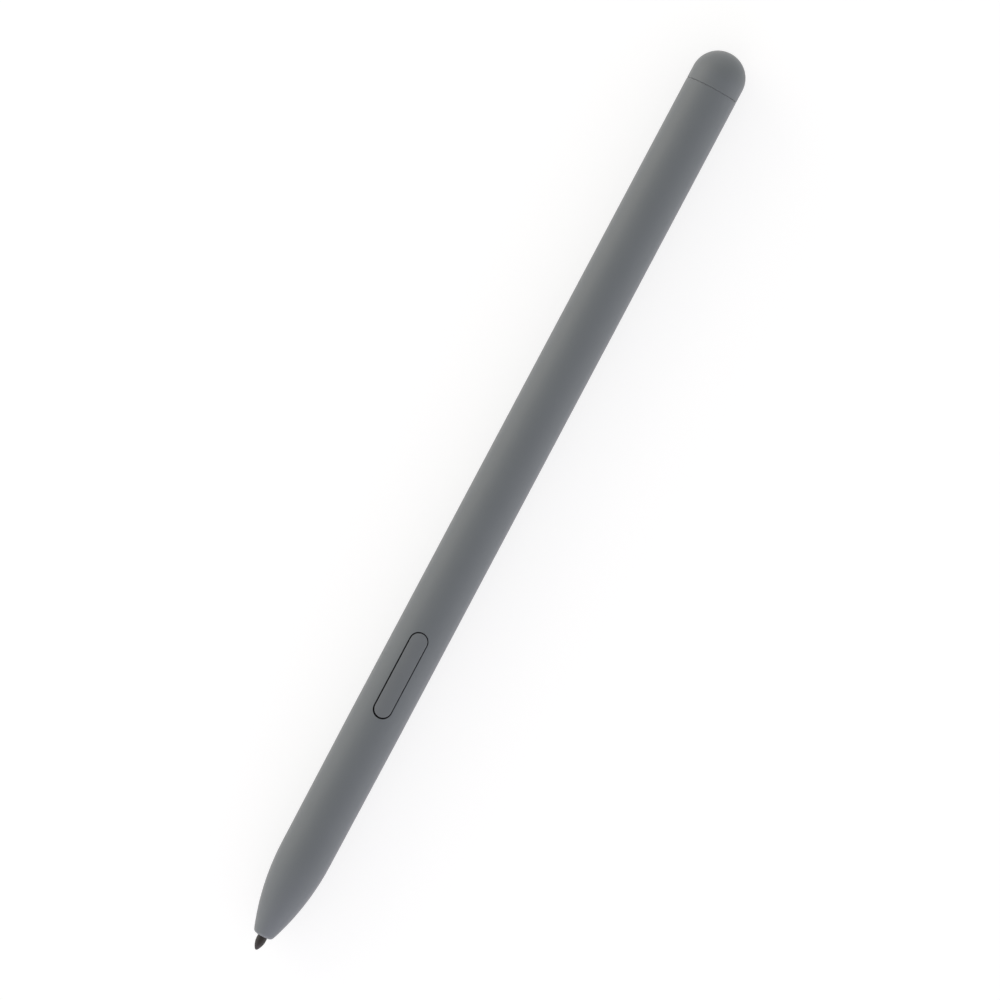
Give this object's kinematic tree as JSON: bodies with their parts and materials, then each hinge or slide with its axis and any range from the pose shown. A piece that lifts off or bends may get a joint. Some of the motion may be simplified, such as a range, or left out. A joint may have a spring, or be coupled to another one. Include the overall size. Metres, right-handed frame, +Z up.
{
  "type": "stylus pen",
  "caption": "Slim tapered stylus pen for a tablet with a pressure-sensing replaceable nib, a sprung side button, a domed end cap and a flat magnetic back.",
  "frame": {"origin": "on the resting flat, below the middle of the pen's length", "axes": "+X along the pen from the nib to the domed tail, +Z up through the side button"},
  "size_m": [0.1448, 0.0078, 0.0074],
  "materials": {
    "shell_plastic": "soft-touch matte grey",
    "button_plastic": "satin grey",
    "nib_plastic": "smooth dark acetal",
    "chassis_plastic": "moulded dark plastic",
    "sensor_plastic": "natural acetal",
    "soft_rubber": "silicone",
    "carbon_rubber": "conductive silicone",
    "ferrite": "sintered dark grey",
    "copper_wire": "enamelled copper",
    "spring_steel": "bright",
    "contact_brass": "gold-plated",
    "white_ceramic": "fired",
    "board_laminate": "solder resist",
    "switch_plastic": "moulded black",
    "chip_ceramic": "fired, tinned ends",
    "nickel_magnet": "nickel-plated"
  },
  "bodies": {
    "barrel": {"barrel": "shell_plastic", "end_cap": "shell_plastic", "nose_damper": "soft_rubber", "ferrite_core": "ferrite", "coil_winding": "copper_wire", "coil_lead_left": "copper_wire", "coil_lead_right": "copper_wire", "shock_absorber": "soft_rubber", "board_carrier": "chassis_plastic", "return_spring": "spring_steel", "ring_terminal": "contact_brass", "dielectric_disc": "white_ceramic", "disc_terminal": "contact_brass", "sensor_plug": "sensor_plastic", "circuit_board": "board_laminate", "switch_base": "switch_plastic", "switch_dome": "spring_steel", "switch_cover": "spring_steel", "magnet_carrier": "chassis_plastic", "magnet_front": "nickel_magnet", "magnet_rear": "nickel_magnet", "rear_damper": "soft_rubber", "resonance_capacitor_1": "chip_ceramic", "resonance_capacitor_2": "chip_ceramic", "tuning_capacitor_1": "chip_ceramic", "tuning_capacitor_2": "chip_ceramic", "tuning_capacitor_3": "chip_ceramic", "tuning_capacitor_4": "chip_ceramic"},
    "side_button": {"side_button": "button_plastic"},
    "switch_plunger": {"switch_plunger": "switch_plastic"},
    "nib_holder": {"nib_holder": "sensor_plastic", "conductive_rubber": "carbon_rubber"},
    "nib": {"nib": "nib_plastic"}
  },
  "joints": [
    {"name": "nib_press", "type": "slide", "parent": "barrel", "child": "nib_holder", "axis": [1, 0, 0], "range_m": [0, 0.00025], "stiffness_N_per_m": 8000, "deforming": ["return_spring"]},
    {"name": "nib_pull", "type": "slide", "parent": "nib_holder", "child": "nib", "axis": [-1, 0, 0], "range_m": [0, 0.022]},
    {"name": "button_press", "type": "slide", "parent": "barrel", "child": "side_button", "axis": [0, 0, -1], "range_m": [0, 0.00025], "stiffness_N_per_m": 6400},
    {"name": "switch_travel", "type": "slide", "parent": "barrel", "child": "switch_plunger", "axis": [0, 0, -1], "range_m": [0, 0.00025], "deforming": ["switch_dome"]}
  ],
  "couplings": [
    {"joint": "switch_travel", "follows": "button_press", "ratio": 1}
  ]
}
